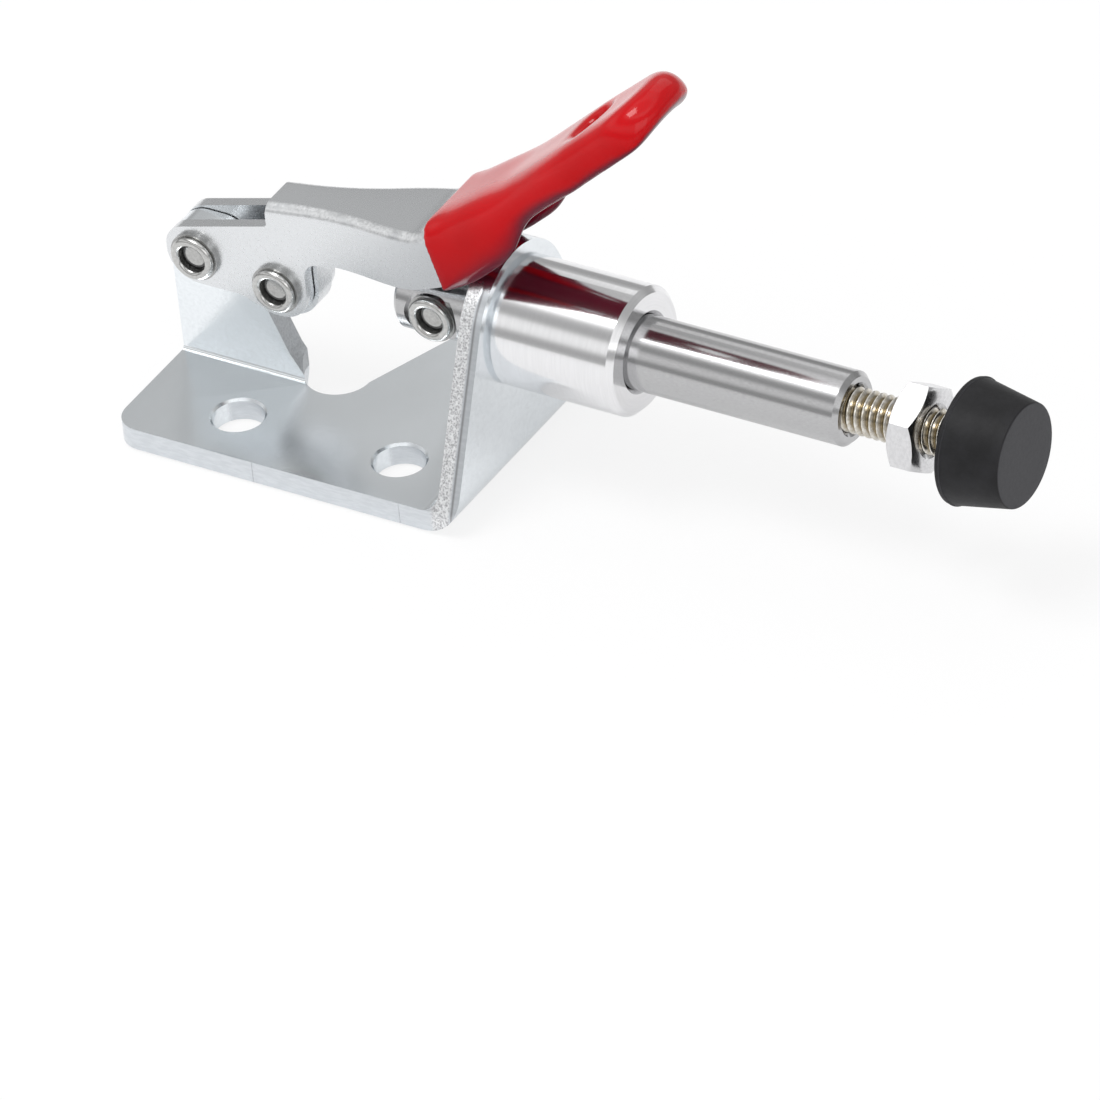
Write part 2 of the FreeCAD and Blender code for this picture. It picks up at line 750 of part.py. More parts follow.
def make_parts():
    handle_half = link_sheet / 2 + side_gap + handle_sheet
    return {
        "base": make_base(),
        "guide_barrel": make_barrel(),
        "handle": make_handle(),
        "grip_sleeve": make_sleeve(),
        "link": make_link(),
        "plunger": make_plunger(),
        "rear_rivet": make_rivet(rear_pivot, handle_half),
        "middle_rivet": make_rivet(middle_pivot, handle_half),
        "front_rivet": make_rivet(front_pivot, plunger_flat),
        "rear_washer": make_washer(rear_pivot, handle_half),
        "middle_washer": make_washer(middle_pivot, handle_half),
        "front_washer": make_washer(front_pivot, plunger_flat),
        "spindle_bolt": make_spindle(),
        "lock_nut": make_nut(),
        "rubber_tip": make_tip(),
    }


os.makedirs("parts", exist_ok=True)
between_holes = Vector(first_hole + hole_spacing / 2, hole_line(), 0)
for name, shape in make_parts().items():
    shape.translate(between_holes * -1)
    print(name, "valid" if shape.isValid() else "NOT VALID", len(shape.Solids), "solid",
          round(shape.Volume, 2), "mm3")
    shape.exportStep("parts/" + name + ".step")
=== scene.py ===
import math

import bmesh
import bpy
import numpy as np
from mathutils import Matrix, Vector


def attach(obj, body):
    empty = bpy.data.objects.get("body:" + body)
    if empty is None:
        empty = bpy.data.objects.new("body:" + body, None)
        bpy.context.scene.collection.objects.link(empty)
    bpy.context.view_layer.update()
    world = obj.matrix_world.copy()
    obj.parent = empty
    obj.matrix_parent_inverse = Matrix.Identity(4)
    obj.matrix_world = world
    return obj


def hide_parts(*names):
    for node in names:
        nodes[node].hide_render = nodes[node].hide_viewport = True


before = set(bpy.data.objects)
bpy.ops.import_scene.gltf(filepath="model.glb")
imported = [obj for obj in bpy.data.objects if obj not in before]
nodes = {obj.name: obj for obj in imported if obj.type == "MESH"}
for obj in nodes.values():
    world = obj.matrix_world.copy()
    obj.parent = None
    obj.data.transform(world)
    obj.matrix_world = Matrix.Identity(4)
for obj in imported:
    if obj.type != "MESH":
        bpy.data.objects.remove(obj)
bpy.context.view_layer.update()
mm = 0.001

plungerMm = {"y": 7.3, "z": 13.9}              # axis of everything that is turned about X
plungerLine = {"y": plungerMm["y"] * mm, "z": plungerMm["z"] * mm}


def link(tree, source, target):
    tree.links.new(source, target)


def addNode(tree, kind, **sockets):
    node = tree.nodes.new(kind)
    for key, value in sockets.items():
        node.inputs[key.replace("_", " ")].default_value = value
    return node


def feed(tree, socket, value):
    if isinstance(value, (int, float, tuple)):
        socket.default_value = value
    else:
        link(tree, value, socket)


def calc(tree, operation, a, b=None, c=None):
    node = tree.nodes.new("ShaderNodeMath")
    node.operation = operation
    for index, value in enumerate((a, b, c)):
        if value is not None:
            feed(tree, node.inputs[index], value)
    return node.outputs[0]


def ramp(tree, value, low, high):
    # smooth step from 0 at low to 1 at high
    node = tree.nodes.new("ShaderNodeMapRange")
    node.interpolation_type = "SMOOTHSTEP"
    link(tree, value, node.inputs["Value"])
    node.inputs["From Min"].default_value = low
    node.inputs["From Max"].default_value = high
    return node.outputs["Result"]


def band(tree, value, low, high, soft):
    # 1 between low and high, with soft shoulders
    rise = ramp(tree, value, low - soft, low + soft)
    fall = ramp(tree, value, high + soft, high - soft)
    return calc(tree, "MULTIPLY", rise, fall)


def mixColor(tree, mask, a, b):
    mix = tree.nodes.new("ShaderNodeMix")
    mix.data_type = "RGBA"
    link(tree, mask, mix.inputs["Factor"])
    feed(tree, mix.inputs["A"], a)
    feed(tree, mix.inputs["B"], b)
    return mix.outputs["Result"]


def mixValue(tree, mask, a, b):
    mix = tree.nodes.new("ShaderNodeMix")
    mix.data_type = "FLOAT"
    link(tree, mask, mix.inputs["Factor"])
    feed(tree, mix.inputs["A"], a)
    feed(tree, mix.inputs["B"], b)
    return mix.outputs["Result"]


def objectAxes(tree):
    coords = tree.nodes.new("ShaderNodeTexCoord")
    apart = tree.nodes.new("ShaderNodeSeparateXYZ")
    link(tree, coords.outputs["Object"], apart.inputs[0])
    return coords.outputs["Object"], apart.outputs["X"], apart.outputs["Y"], apart.outputs["Z"]


def newGroup(name, inputs, outputs):
    group = bpy.data.node_groups.new(name, "ShaderNodeTree")
    for label, kind, value in inputs:
        socket = group.interface.new_socket(name=label, in_out="INPUT", socket_type=kind)
        socket.default_value = value
    for label, kind in outputs:
        group.interface.new_socket(name=label, in_out="OUTPUT", socket_type=kind)
    return group, group.nodes.new("NodeGroupInput"), group.nodes.new("NodeGroupOutput")


def placeGroup(tree, group, **values):
    node = tree.nodes.new("ShaderNodeGroup")
    node.node_tree = group
    for key, value in values.items():
        node.inputs[key.replace("_", " ")].default_value = value
    return node


def makeFacingGroup():
    # the surface's direction in the piece's own axes
    group, _, end = newGroup("facing", [], [(axis, "NodeSocketFloat") for axis in "XYZ"])
    geometry = group.nodes.new("ShaderNodeNewGeometry")
    turned = group.nodes.new("ShaderNodeVectorTransform")
    turned.vector_type = "NORMAL"
    turned.convert_from = "WORLD"
    turned.convert_to = "OBJECT"
    link(group, geometry.outputs["Normal"], turned.inputs[0])
    apart = group.nodes.new("ShaderNodeSeparateXYZ")
    link(group, turned.outputs[0], apart.inputs[0])
    for axis in "XYZ":
        link(group, apart.outputs[axis], end.inputs[axis])
    return group


def makeSheetGroup():
    # fine mottling of rolled and plated sheet: clouds of tone with a close grain over them
    group, start, end = newGroup("sheetGrain", [
        ("Tone", "NodeSocketColor", (0.7, 0.7, 0.7, 1)),
        ("Shade", "NodeSocketColor", (0.6, 0.6, 0.6, 1)),
        ("Roughness", "NodeSocketFloat", 0.2),
        ("Spread", "NodeSocketFloat", 0.08),
        ("Grain", "NodeSocketFloat", 1400.0),
    ], [("Color", "NodeSocketColor"), ("Roughness", "NodeSocketFloat"), ("Height", "NodeSocketFloat")])
    place = objectAxes(group)[0]
    fine = addNode(group, "ShaderNodeTexNoise", Detail=4.0, Roughness=0.62)
    link(group, place, fine.inputs["Vector"])
    link(group, start.outputs["Grain"], fine.inputs["Scale"])
    cloud = addNode(group, "ShaderNodeTexNoise", Scale=110.0, Detail=3.0, Roughness=0.5)
    link(group, place, cloud.inputs["Vector"])
    clouded = calc(group, "MULTIPLY", cloud.outputs["Fac"], 0.4)
    both = calc(group, "MULTIPLY_ADD", fine.outputs["Fac"], 0.6, clouded)
    mask = ramp(group, both, 0.30, 0.70)
    link(group, mixColor(group, mask, start.outputs["Shade"], start.outputs["Tone"]), end.inputs["Color"])
    shift = calc(group, "MULTIPLY", calc(group, "SUBTRACT", mask, 0.5), start.outputs["Spread"])
    link(group, calc(group, "SUBTRACT", start.outputs["Roughness"], shift), end.inputs["Roughness"])
    link(group, fine.outputs["Fac"], end.inputs["Height"])
    return group


def makeTornGroup():
    # torn grain of a sheared or strained surface: bright crystals among dark pits
    group, start, end = newGroup("tornGrain", [("Scale", "NodeSocketFloat", 4200.0)],
                                 [("Mask", "NodeSocketFloat"), ("Height", "NodeSocketFloat")])
    place = objectAxes(group)[0]
    cells = group.nodes.new("ShaderNodeTexVoronoi")
    cells.feature = "SMOOTH_F1"
    link(group, place, cells.inputs["Vector"])
    link(group, start.outputs["Scale"], cells.inputs["Scale"])
    rough = addNode(group, "ShaderNodeTexNoise", Scale=3400.0, Detail=5.0, Roughness=0.7)
    link(group, place, rough.inputs["Vector"])
    both = calc(group, "MULTIPLY_ADD", cells.outputs["Distance"], 0.7, rough.outputs["Fac"])
    link(group, ramp(group, both, 0.4, 1.05), end.inputs["Mask"])
    link(group, both, end.inputs["Height"])
    return group


def makeTurnedGroup():
    # rings left by a lathe: noise over (x, distance from the axis), stretched round it
    group, start, end = newGroup("turnedRings", [
        ("Pitch", "NodeSocketFloat", 5000.0),
        ("Stretch", "NodeSocketFloat", 1.0),
        ("Axis Y", "NodeSocketFloat", plungerLine["y"]),
        ("Axis Z", "NodeSocketFloat", plungerLine["z"]),
    ], [("Mask", "NodeSocketFloat"), ("Height", "NodeSocketFloat")])
    x, y, z = objectAxes(group)[1:]
    across = calc(group, "SUBTRACT", y, start.outputs["Axis Y"])
    up = calc(group, "SUBTRACT", z, start.outputs["Axis Z"])
    squares = calc(group, "ADD", calc(group, "MULTIPLY", across, across), calc(group, "MULTIPLY", up, up))
    radius = calc(group, "SQRT", squares)
    angle = calc(group, "ARCTAN2", up, across)
    joined = group.nodes.new("ShaderNodeCombineXYZ")
    link(group, calc(group, "MULTIPLY", x, start.outputs["Pitch"]), joined.inputs["X"])
    link(group, calc(group, "MULTIPLY", radius, start.outputs["Pitch"]), joined.inputs["Y"])
    link(group, calc(group, "MULTIPLY", angle, start.outputs["Stretch"]), joined.inputs["Z"])
    noise = addNode(group, "ShaderNodeTexNoise", Scale=1.0, Detail=3.0, Roughness=0.6)
    link(group, joined.outputs[0], noise.inputs["Vector"])
    link(group, ramp(group, noise.outputs["Fac"], 0.35, 0.65), end.inputs["Mask"])
    link(group, noise.outputs["Fac"], end.inputs["Height"])
    return group


facing = makeFacingGroup()
sheetGrain = makeSheetGroup()
tornGrain = makeTornGroup()
turnedRings = makeTurnedGroup()
print("groups made")


def newMaterial(name):
    material = bpy.data.materials.new(name)
    material.use_nodes = True
    tree = material.node_tree
    return material, tree, tree.nodes["Principled BSDF"]


def bumpInto(tree, shader, height, strength, distance):
    bump = tree.nodes.new("ShaderNodeBump")
    feed(tree, bump.inputs["Strength"], strength)
    bump.inputs["Distance"].default_value = distance
    link(tree, height, bump.inputs["Height"])
    link(tree, bump.outputs["Normal"], shader.inputs["Normal"])


def paintedRecessShadeMask(tree):
    # the amount of painted shade in recesses, as the mesh stores it
    node = tree.nodes.new("ShaderNodeAttribute")
    node.attribute_name = "paintedRecessShade"
    return node.outputs["Fac"]


def storePaintedRecessShade(mesh, paintedRecessShade):
    mesh.attributes.new("paintedRecessShade", "FLOAT", "POINT").data.foreach_set("value", paintedRecessShade.astype(np.float32))


def meshPoints(mesh):
    points = np.empty(len(mesh.vertices) * 3)
    mesh.vertices.foreach_get("co", points)
    return points.reshape(-1, 3)


def mergedMesh(sourceMesh, name):
    # the source's triangles with their shared corners joined
    corners = np.empty(len(sourceMesh.loops), dtype=np.int32)
    sourceMesh.loops.foreach_get("vertex_index", corners)
    mesh = bpy.data.meshes.new(name)
    mesh.from_pydata(meshPoints(sourceMesh).tolist(), [], corners.reshape(-1, 3).tolist())
    work = bmesh.new()
    work.from_mesh(mesh)
    bmesh.ops.remove_doubles(work, verts=work.verts, dist=2e-6)
    bmesh.ops.dissolve_degenerate(work, dist=1e-6, edges=work.edges)
    work.to_mesh(mesh)
    work.free()
    return mesh


def showPiece(name, mesh, material, body, slot, *replaced):
    item = bpy.data.objects.new(name, mesh)
    bpy.context.scene.collection.objects.link(item)
    mesh.materials.clear()
    mesh.materials.append(material)
    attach(item, body)
    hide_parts(*replaced)
    return item


# folded base

baseLook = {
    "tone": (0.88, 0.915, 0.94, 1),
    "shade": (0.80, 0.835, 0.86, 1),
    "roughness": 0.21,
    "edgeTone": (0.92, 0.93, 0.94, 1),
    "edgeShade": (0.34, 0.34, 0.355, 1),
    "burnished": (0.64, 0.67, 0.70, 1),
    "burnishedShine": (0.71, 0.74, 0.77, 1),
    # painted shade on the upright's front cut edge
    "paintedUprightEdgeShade": (0.48, 0.50, 0.52, 1),
    "nearCutEnd": 5.6 * mm,      # cut edges that look to the near side lie before this y
    "farCutStart": 8.6 * mm,     # and those that look to the far side behind this one
    "uprightFront": 8.0 * mm,
    "aboveSheet": 2.1 * mm,
    "nearRim": -5.0 * mm,        # the nicks' cut lies before this y
    "plateRear": 14.5 * mm,      # rear face of the front plate
    "sheet": 2.0 * mm,
    "nicks": (-3.35 * mm, 10.8 * mm),
    "nickHalf": 0.05 * mm,
    "nickSoft": 0.04 * mm,
    "bevel": 0.2 * mm,
}


def makeBaseMaterial():
    material, tree, shader = newMaterial("zincPlate")
    shader.inputs["Metallic"].default_value = 1.0
    sheet = placeGroup(tree, sheetGrain, Tone=baseLook["tone"], Shade=baseLook["shade"],
                       Roughness=baseLook["roughness"], Spread=0.10, Grain=3000.0)
    torn = placeGroup(tree, tornGrain, Scale=6500.0)
    normal = placeGroup(tree, facing)
    place, x, y, z = objectAxes(tree)
    # cut edges look to the near or the far side, or forward beside the upright
    nearEdge = calc(tree, "MULTIPLY", ramp(tree, normal.outputs["Y"], -0.45, -0.7),
                    calc(tree, "LESS_THAN", y, baseLook["nearCutEnd"]))
    farEdge = calc(tree, "MULTIPLY", ramp(tree, normal.outputs["Y"], 0.45, 0.7),
                   calc(tree, "GREATER_THAN", y, baseLook["farCutStart"]))
    upright = calc(tree, "MULTIPLY", calc(tree, "LESS_THAN", x, baseLook["uprightFront"]),
                   calc(tree, "GREATER_THAN", z, baseLook["aboveSheet"]))
    frontEdge = calc(tree, "MULTIPLY", ramp(tree, normal.outputs["X"], 0.35, 0.6), upright)
    cut = calc(tree, "MAXIMUM", nearEdge, calc(tree, "MAXIMUM", farEdge, frontEdge))
    # the fracture half of the front plate's cut is torn, the other half and the base's own cut are burnished
    through = calc(tree, "MULTIPLY_ADD", x, 1 / baseLook["sheet"], -baseLook["plateRear"] / baseLook["sheet"])
    plate = ramp(tree, through, -0.4, -0.1)
    fracture = calc(tree, "MULTIPLY", plate, ramp(tree, through, 0.66, 0.5))
    fracture = calc(tree, "MAXIMUM", fracture, calc(tree, "MAXIMUM", farEdge, frontEdge))
    tornTone = mixColor(tree, torn.outputs["Mask"], baseLook["edgeShade"], baseLook["edgeTone"])
    streaks = addNode(tree, "ShaderNodeTexNoise", Scale=1.0, Detail=4.0, Roughness=0.6)
    squeeze = addNode(tree, "ShaderNodeMapping", Scale=(900.0, 900.0, 4200.0))
    link(tree, place, squeeze.inputs["Vector"])
    link(tree, squeeze.outputs["Vector"], streaks.inputs["Vector"])
    streakMask = ramp(tree, streaks.outputs["Fac"], 0.35, 0.7)
    burnished = mixColor(tree, streakMask, baseLook["burnished"], baseLook["burnishedShine"])
    edgeColor = mixColor(tree, fracture, burnished, tornTone)
    seam = calc(tree, "MULTIPLY", plate, band(tree, through, 0.66, 0.74, 0.05))
    edgeColor = mixColor(tree, seam, edgeColor, baseLook["edgeShade"])
    # painted shade laid over the upright's front cut edge
    edgeColor = mixColor(tree, calc(tree, "MULTIPLY", frontEdge, 0.8), edgeColor, baseLook["paintedUprightEdgeShade"])
    link(tree, mixColor(tree, cut, sheet.outputs["Color"], edgeColor), shader.inputs["Base Color"])
    edgeRough = mixValue(tree, fracture, 0.30, 0.42)
    link(tree, mixValue(tree, cut, sheet.outputs["Roughness"], edgeRough), shader.inputs["Roughness"])
    # two upright nicks of the blanking die in the near cut
    low = calc(tree, "MULTIPLY", cut, calc(tree, "LESS_THAN", y, baseLook["nearRim"]))
    half, soft = baseLook["nickHalf"], baseLook["nickSoft"]
    first, second = [band(tree, x, spot - half, spot + half, soft) for spot in baseLook["nicks"]]
    nicks = calc(tree, "MULTIPLY", calc(tree, "MAXIMUM", first, second), low)
    streakHeight = calc(tree, "MULTIPLY", streaks.outputs["Fac"], 0.08)
    edgeHeight = mixValue(tree, fracture, streakHeight, torn.outputs["Height"])
    height = mixValue(tree, cut, calc(tree, "MULTIPLY", sheet.outputs["Height"], 0.035), edgeHeight)
    bumpInto(tree, shader, calc(tree, "MULTIPLY_ADD", nicks, -1.6, height), 0.6, 0.07 * mm)
    return material


# pressed handle and link

handleLook = {
    "tone": (0.76, 0.775, 0.79, 1),
    "shade": (0.735, 0.75, 0.765, 1),
    "paintedFlankShade": (0.41, 0.425, 0.44, 1),        # painted shade, darker towards the dip line
    "paintedFlankShadeHeight": 20 * mm,
    "paintedFlankShadeLean": -0.8,
    "paintedFlankShadeRun": (-2 * mm, 13 * mm),
    "paintedFlankShadeShare": 0.8,
    "roughness": 0.27,
    "ridgeTone": (0.88, 0.89, 0.90, 1),
    "ridgeShade": (0.62, 0.63, 0.64, 1),
    "ridgeStart": (-7.0 * mm, -5.0 * mm),
    "bevel": 0.3 * mm,
}


def makeHandleMaterial():
    # satin pressing, with the skin strained to bright grain round the long ridges
    material, tree, shader = newMaterial("pressedSteel")
    shader.inputs["Metallic"].default_value = 1.0
    sheet = placeGroup(tree, sheetGrain, Tone=handleLook["tone"], Shade=handleLook["shade"],
                       Roughness=handleLook["roughness"], Spread=0.02, Grain=3200.0)
    torn = placeGroup(tree, tornGrain, Scale=4600.0)
    normal = placeGroup(tree, facing)
    place, x, y, z = objectAxes(tree)
    sideways = calc(tree, "ABSOLUTE", normal.outputs["Y"])
    ridge = calc(tree, "MULTIPLY", band(tree, sideways, 0.22, 0.90, 0.12),
                 ramp(tree, normal.outputs["Z"], 0.15, 0.4))
    ridge = calc(tree, "MULTIPLY", ridge, ramp(tree, x, *handleLook["ridgeStart"]))
    wander = addNode(tree, "ShaderNodeTexNoise", Scale=500.0, Detail=3.0, Roughness=0.6)
    link(tree, place, wander.inputs["Vector"])
    ridge = calc(tree, "MULTIPLY", ridge, ramp(tree, wander.outputs["Fac"], 0.3, 0.55))
    grainy = mixColor(tree, torn.outputs["Mask"], handleLook["ridgeShade"], handleLook["ridgeTone"])
    # painted shade: the near flank gets darker forwards and downwards
    rise = calc(tree, "SUBTRACT", z, handleLook["paintedFlankShadeHeight"])
    slope = calc(tree, "MULTIPLY_ADD", rise, handleLook["paintedFlankShadeLean"], x)
    paintedFlankShadeMask = calc(tree, "MULTIPLY", ramp(tree, slope, *handleLook["paintedFlankShadeRun"]),
                  ramp(tree, normal.outputs["Y"], -0.3, -0.9))
    paintedFlankShadeMask = calc(tree, "MULTIPLY", paintedFlankShadeMask, handleLook["paintedFlankShadeShare"])
    flat = mixColor(tree, paintedFlankShadeMask, sheet.outputs["Color"], handleLook["paintedFlankShade"])
    link(tree, mixColor(tree, ridge, flat, grainy), shader.inputs["Base Color"])
    link(tree, mixValue(tree, ridge, sheet.outputs["Roughness"], 0.36), shader.inputs["Roughness"])
    height = mixValue(tree, ridge, calc(tree, "MULTIPLY", sheet.outputs["Height"], 0.008),
                      calc(tree, "MULTIPLY", torn.outputs["Height"], 0.4))
    bumpInto(tree, shader, height, 0.5, 0.05 * mm)
    return material


def makeLinkMaterial():
    material, tree, shader = newMaterial("linkSteel")
    shader.inputs["Metallic"].default_value = 1.0
    sheet = placeGroup(tree, sheetGrain, Tone=handleLook["tone"], Shade=handleLook["shade"],
                       Roughness=0.25, Spread=0.1, Grain=1300.0)
    link(tree, sheet.outputs["Color"], shader.inputs["Base Color"])
    link(tree, sheet.outputs["Roughness"], shader.inputs["Roughness"])
    bumpInto(tree, shader, sheet.outputs["Height"], 0.14, 0.05 * mm)
    return material


# turned and polished steel

turnedLooks = {
    "guide_barrel": {
        "name": "turnedSteel", "tone": (0.83, 0.83, 0.84, 1), "shade": (0.80, 0.80, 0.81, 1),
        "smooth": 0.125, "rough": 0.145, "pitch": 9000.0, "stretch": 1.5, "bump": 0.003,
    },
    "plunger": {
        "name": "polishedRod", "tone": (0.51, 0.51, 0.515, 1), "shade": (0.46, 0.46, 0.465, 1),
        "smooth": 0.15, "rough": 0.20, "pitch": 2500.0, "stretch": 60.0, "bump": 0.012,
    },
    "lock_nut": {
        "name": "nutSteel", "tone": (0.72, 0.72, 0.73, 1), "shade": (0.66, 0.66, 0.67, 1),
        "smooth": 0.17, "rough": 0.22, "pitch": 4000.0, "stretch": 8.0, "bump": 0.01,
    },
    "spindle_bolt": {
        "name": "threadSteel", "tone": (0.80, 0.78, 0.74, 1), "shade": (0.62, 0.58, 0.50, 1),
        "smooth": 0.16, "rough": 0.26, "pitch": 3000.0, "stretch": 5.0, "bump": 0.02,
        # painted shade in the thread's grooves
        "paintedGrooveShade": (0.22, 0.17, 0.09, 1),
    },
}


def makeTurnedMaterial(look):
    material, tree, shader = newMaterial(look["name"])
    shader.inputs["Metallic"].default_value = 1.0
    rings = placeGroup(tree, turnedRings, Pitch=look["pitch"], Stretch=look["stretch"])
    color = mixColor(tree, rings.outputs["Mask"], look["shade"], look["tone"])
    if "paintedGrooveShade" in look:
        # painted shade in the grooves, where the mesh stores it
        color = mixColor(tree, paintedRecessShadeMask(tree), color, look["paintedGrooveShade"])
    link(tree, color, shader.inputs["Base Color"])
    roughness = mixValue(tree, rings.outputs["Mask"], look["rough"], look["smooth"])
    link(tree, roughness, shader.inputs["Roughness"])
    bumpInto(tree, shader, rings.outputs["Height"], look["bump"], 0.02 * mm)
    return material


# painted shade in the rivets' bores
paintedBoreShade = (0.10, 0.10, 0.10, 1)


def makeRivetMaterial(name, tone, shade, roughness):
    material, tree, shader = newMaterial(name)
    shader.inputs["Metallic"].default_value = 1.0
    sheet = placeGroup(tree, sheetGrain, Tone=tone, Shade=shade, Roughness=roughness, Spread=0.12, Grain=3600.0)
    # painted shade in the bore, where the mesh stores it
    color = mixColor(tree, paintedRecessShadeMask(tree), sheet.outputs["Color"], paintedBoreShade)
    link(tree, color, shader.inputs["Base Color"])
    link(tree, sheet.outputs["Roughness"], shader.inputs["Roughness"])
    bumpInto(tree, shader, sheet.outputs["Height"], 0.12, 0.04 * mm)
    return material


# dipped sleeve

sleeveLook = {
    "tone": (0.52, 0.003, 0.006, 1),
    "shade": (0.45, 0.002, 0.004, 1),
    # painted shade on faces that look down
    "paintedUndersideShade": (0.12, 0.006, 0.02, 1),
    "paintedShadeHeights": (24 * mm, 14 * mm),     # painted shade, darker downwards between these
    "paintedShadeShare": 0.65,
    "gloss": 0.36,
    "roughness": 0.16,
    "voxel": 0.2 * mm,
    "rounds": 300,               # smoothing passes
    "steadyRim": 2.0 * mm,       # smoothing fades out this near the dip line
    "boot": (11.0 * mm, 17.0 * mm),        # and is weaker beyond the boot
    "gripShare": 0.24,
    "dipPlane": (10.9 * mm, 23.65 * mm),   # where the dip line crosses the handle's top, side view
    "dipLean": 17.0,             # degrees
}


def makeVinylMaterial():
    # glossy dipped coating: clouded red under a faint orange peel with a few specks, and painted shade on its
    # lower parts and underside
    material, tree, shader = newMaterial("redVinyl")
    shader.inputs["IOR"].default_value = 1.5
    shader.inputs["Specular IOR Level"].default_value = 0.09
    shader.inputs["Coat Roughness"].default_value = 0.06
    place, _, _, height = objectAxes(tree)
    normal = placeGroup(tree, facing)
    coat = calc(tree, "MULTIPLY", ramp(tree, normal.outputs["Z"], -0.05, 0.6), sleeveLook["gloss"])
    link(tree, coat, shader.inputs["Coat Weight"])
    cloud = addNode(tree, "ShaderNodeTexNoise", Scale=90.0, Detail=3.0, Roughness=0.5)
    link(tree, place, cloud.inputs["Vector"])
    peel = addNode(tree, "ShaderNodeTexNoise", Scale=420.0, Detail=2.0, Roughness=0.5)
    link(tree, place, peel.inputs["Vector"])
    speck = addNode(tree, "ShaderNodeTexVoronoi", Scale=230.0)
    link(tree, place, speck.inputs["Vector"])
    dots = ramp(tree, speck.outputs["Distance"], 0.07, 0.03)
    mask = ramp(tree, cloud.outputs["Fac"], 0.35, 0.65)
    # painted shade: darker downwards with height, and dark on faces that look down
    low = calc(tree, "MULTIPLY", ramp(tree, height, *sleeveLook["paintedShadeHeights"]), sleeveLook["paintedShadeShare"])
    paintedShadeMask = calc(tree, "MAXIMUM", low, ramp(tree, normal.outputs["Z"], 0.0, -0.45))
    upper = mixColor(tree, mask, sleeveLook["shade"], sleeveLook["tone"])
    link(tree, mixColor(tree, paintedShadeMask, upper, sleeveLook["paintedUndersideShade"]), shader.inputs["Base Color"])
    roughness = calc(tree, "MULTIPLY_ADD", peel.outputs["Fac"], 0.08, sleeveLook["roughness"] - 0.04)
    link(tree, roughness, shader.inputs["Roughness"])
    bumpInto(tree, shader, calc(tree, "MULTIPLY_ADD", dots, 0.5, peel.outputs["Fac"]), 0.10, 0.1 * mm)
    return material


# rubber tip

tipLook = {
    "tone": (0.015, 0.015, 0.017, 1),
    "shade": (0.008, 0.008, 0.009, 1),
    "face": (0.047, 0.047, 0.052, 1),
    "roughness": 0.55,
    "around": 128,
}


def makeRubberMaterial():
    material, tree, shader = newMaterial("blackRubber")
    place = objectAxes(tree)[0]
    cloud = addNode(tree, "ShaderNodeTexNoise", Scale=300.0, Detail=5.0, Roughness=0.6)
    link(tree, place, cloud.inputs["Vector"])
    grain = addNode(tree, "ShaderNodeTexNoise", Scale=2600.0, Detail=3.0, Roughness=0.6)
    link(tree, place, grain.inputs["Vector"])
    shader.inputs["Specular IOR Level"].default_value = 0.25
    normal = placeGroup(tree, facing)
    mask = ramp(tree, cloud.outputs["Fac"], 0.35, 0.65)
    # lighter on the flat front face
    frontFaceMask = ramp(tree, normal.outputs["X"], 0.7, 0.95)
    side = mixColor(tree, mask, tipLook["shade"], tipLook["tone"])
    link(tree, mixColor(tree, frontFaceMask, side, tipLook["face"]), shader.inputs["Base Color"])
    roughness = calc(tree, "MULTIPLY_ADD", grain.outputs["Fac"], 0.16, tipLook["roughness"] - 0.08)
    link(tree, roughness, shader.inputs["Roughness"])
    bumpInto(tree, shader, grain.outputs["Fac"], 0.25, 0.05 * mm)
    return material


finishes = {
    "base": makeBaseMaterial(),
    "handle": makeHandleMaterial(),
    "link": makeLinkMaterial(),
    **{name: makeTurnedMaterial(look) for name, look in turnedLooks.items()},
    "rivet": makeRivetMaterial("rivetSteel", (0.62, 0.62, 0.61, 1), (0.46, 0.46, 0.45, 1), 0.20),
    "washer": makeRivetMaterial("washerSteel", (0.48, 0.48, 0.475, 1), (0.34, 0.34, 0.335, 1), 0.30),
    "grip_sleeve": makeVinylMaterial(),
    "rubber_tip": makeRubberMaterial(),
}

for name, node in nodes.items():
    kind = "rivet" if name.endswith("_rivet") else "washer" if name.endswith("_washer") else name
    node.data.materials.clear()
    node.data.materials.append(finishes[kind])
print("materials made")


def softenedPiece(name, nodeName, body, slot, bevel, segments=2, sharpAngle=34):
    # the node's own form, its flat regions made whole and its sharp edges broken by a narrow bevel
    mesh = mergedMesh(nodes[nodeName].data, name)
    work = bmesh.new()
    work.from_mesh(mesh)
    bmesh.ops.dissolve_limit(work, angle_limit=math.radians(0.4), verts=work.verts, edges=work.edges)
    work.to_mesh(mesh)
    work.free()
    mesh.polygons.foreach_set("use_smooth", np.ones(len(mesh.polygons), bool))
    mesh.set_sharp_from_angle(angle=math.radians(sharpAngle))
    item = showPiece(name, mesh, finishes[nodeName], body, slot, nodeName)
    modifier = item.modifiers.new("edges", "BEVEL")
    modifier.width = bevel
    modifier.segments = segments
    modifier.limit_method = "ANGLE"
    modifier.angle_limit = math.radians(sharpAngle)
    modifier.harden_normals = True
    modifier.use_clamp_overlap = True


softenedPiece("foldedBase", "base", "base", "zinc_plate", baseLook["bevel"], 3)
softenedPiece("pressedHandle", "handle", "handle", "pressed_steel", handleLook["bevel"])
softenedPiece("hexNut", "lock_nut", "nut", "nut_steel", 0.07 * mm)
print("sheet pieces made")


